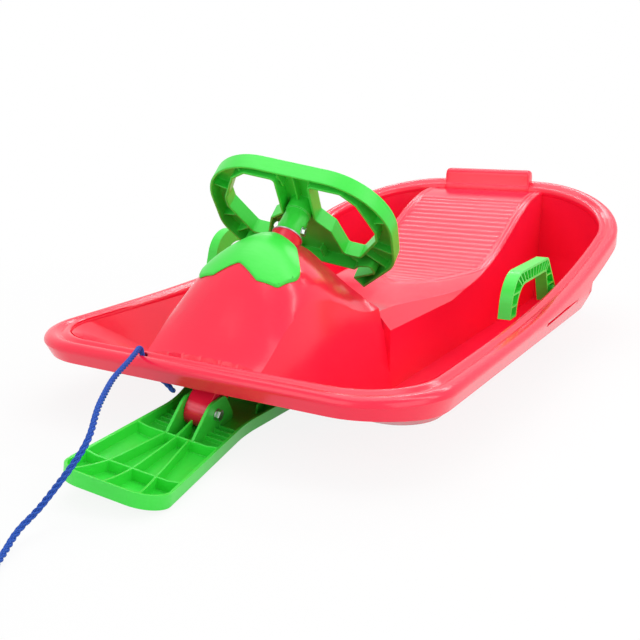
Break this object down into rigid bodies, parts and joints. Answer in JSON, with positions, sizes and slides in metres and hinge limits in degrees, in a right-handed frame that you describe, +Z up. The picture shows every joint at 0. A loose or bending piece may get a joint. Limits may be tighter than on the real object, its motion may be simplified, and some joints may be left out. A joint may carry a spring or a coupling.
{
  "type": "steering sled",
  "caption": "Moulded plastic tub sled for a child, steered by a ribbed wheel on a raked post that turns a short front ski, with a pull-up brake lever at each side and a tow rope.",
  "frame": {"origin": "on the ground under the middle of the sled, midway between the ski's tip and the stern", "axes": "+X to the sled's left, +Y towards the stern, +Z up"},
  "size_m": [0.4818, 1.1889, 0.2591],
  "materials": {
    "red_shell": "glossy moulded red",
    "green_plastic": "semi-gloss moulded green",
    "steel": "zinc plated",
    "blue_rope": "twisted three-strand cord",
    "black_strap": "thin strap"
  },
  "bodies": {
    "hull": {"hull_shell": "red_shell", "hood_cap": "green_plastic", "column_washer": "steel", "rope_knot": "blue_rope", "rope_stretch": "blue_rope", "rope_tail": "blue_rope", "rope_coil": "blue_rope", "rope_tie": "black_strap"},
    "steering": {"steering_post": "red_shell", "steering_wheel": "green_plastic", "wheel_bolt": "steel", "wheel_nut": "steel", "wheel_washers": "steel"},
    "ski": {"ski": "green_plastic", "ski_bolt": "steel", "ski_nut": "steel", "ski_washers": "steel"},
    "brake_left": {"brake_handle_left": "green_plastic", "brake_claw_left": "green_plastic", "brake_screw_left": "steel"},
    "brake_right": {"brake_handle_right": "green_plastic", "brake_claw_right": "green_plastic", "brake_screw_right": "steel"}
  },
  "joints": [
    {"name": "steer", "type": "hinge", "parent": "hull", "child": "steering", "pos_m": [0, -0.31505, 0.029], "axis": [0, 0.7193, 0.6947], "range_deg": [-34, 6]},
    {"name": "ski_pitch", "type": "hinge", "parent": "steering", "child": "ski", "pos_m": [0, -0.31505, 0.029], "axis": [0.9703, 0.1681, -0.174], "range_deg": [-12, 6]},
    {"name": "brake_left_pull", "type": "hinge", "parent": "hull", "child": "brake_left", "pos_m": [0.2, 0.12895, 0.083], "axis": [-1, 0, 0], "range_deg": [0, 45]},
    {"name": "brake_right_pull", "type": "hinge", "parent": "hull", "child": "brake_right", "pos_m": [-0.2, 0.12895, 0.083], "axis": [-1, 0, 0], "range_deg": [-8, 37]}
  ]
}
